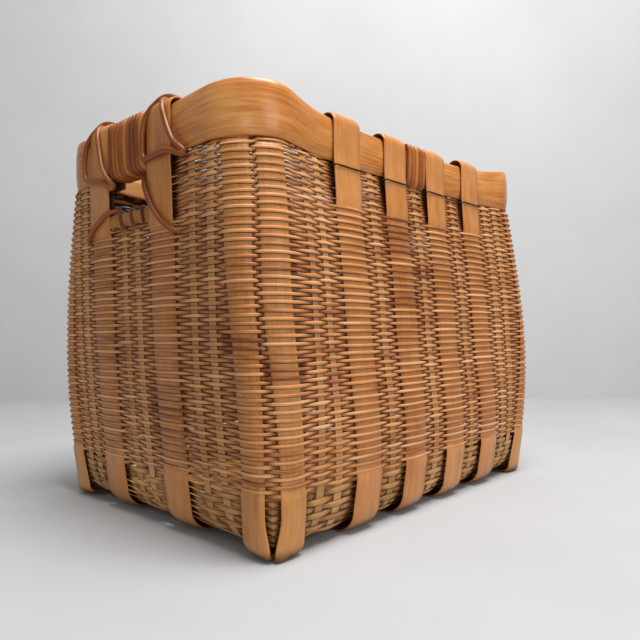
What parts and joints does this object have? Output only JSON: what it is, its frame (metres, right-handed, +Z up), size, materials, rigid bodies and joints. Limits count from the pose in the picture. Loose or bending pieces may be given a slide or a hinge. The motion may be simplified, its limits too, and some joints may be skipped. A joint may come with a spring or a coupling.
{
  "type": "split bamboo basket",
  "caption": "Open-topped rectangular basket woven from split bamboo round wide strips, with a bent rim hoop, lashed grips over two hand holes and a flat foot.",
  "frame": {"origin": "on the floor, under the middle of the basket", "axes": "+X along the long sides, +Y along the short sides from the front to the back, +Z up"},
  "size_m": [0.5344, 0.3824, 0.4239],
  "materials": {
    "woven_bamboo_fine": "satin split bamboo, woven in fine rows",
    "woven_bamboo_coarse": "satin split bamboo, woven in wider rows",
    "bamboo_band": "satin, worn smooth",
    "bamboo_slat": "satin, worn smooth",
    "bamboo_stake": "matte, fibrous inner bamboo",
    "bamboo_culm": "semi-gloss outer skin of the culm",
    "bamboo_sill": "satin",
    "rattan_winding": "semi-gloss round rattan",
    "rattan_cord": "semi-gloss round rattan",
    "rattan_thin": "satin dark rattan",
    "iron_wire": "dull oxidised wire"
  },
  "bodies": {
    "root": {"band_tie_left_back": "rattan_cord", "band_tie_left_front": "rattan_cord", "band_tie_right_back": "rattan_cord", "band_tie_right_front": "rattan_cord", "base_weave": "woven_bamboo_coarse", "corner_slat_back": "bamboo_slat", "corner_slat_front": "bamboo_slat", "corner_slat_left": "bamboo_slat", "corner_slat_right": "bamboo_slat", "foot_weave": "woven_bamboo_coarse", "grip_lashing_left": "rattan_winding", "grip_lashing_right": "rattan_winding", "hand_sill_left": "bamboo_sill", "hand_sill_right": "bamboo_sill", "lock_cord_left_back": "rattan_cord", "lock_cord_left_front": "rattan_cord", "lock_cord_right_back": "rattan_cord", "lock_cord_right_front": "rattan_cord", "long_band_1": "bamboo_band", "long_band_2": "bamboo_band", "long_band_3": "bamboo_band", "long_band_4": "bamboo_band", "narrow_stakes_back": "bamboo_stake", "narrow_stakes_front": "bamboo_stake", "narrow_stakes_left": "bamboo_stake", "narrow_stakes_right": "bamboo_stake", "rim_inner_hoop": "bamboo_culm", "rim_outer_hoop": "bamboo_culm", "short_band_back": "bamboo_band", "short_band_front": "bamboo_band", "side_lashing_back": "rattan_winding", "side_lashing_front": "rattan_winding", "side_weave": "woven_bamboo_fine", "sill_cord_left": "rattan_thin", "sill_cord_right": "rattan_thin", "wire_ties": "iron_wire"}
  },
  "joints": []
}
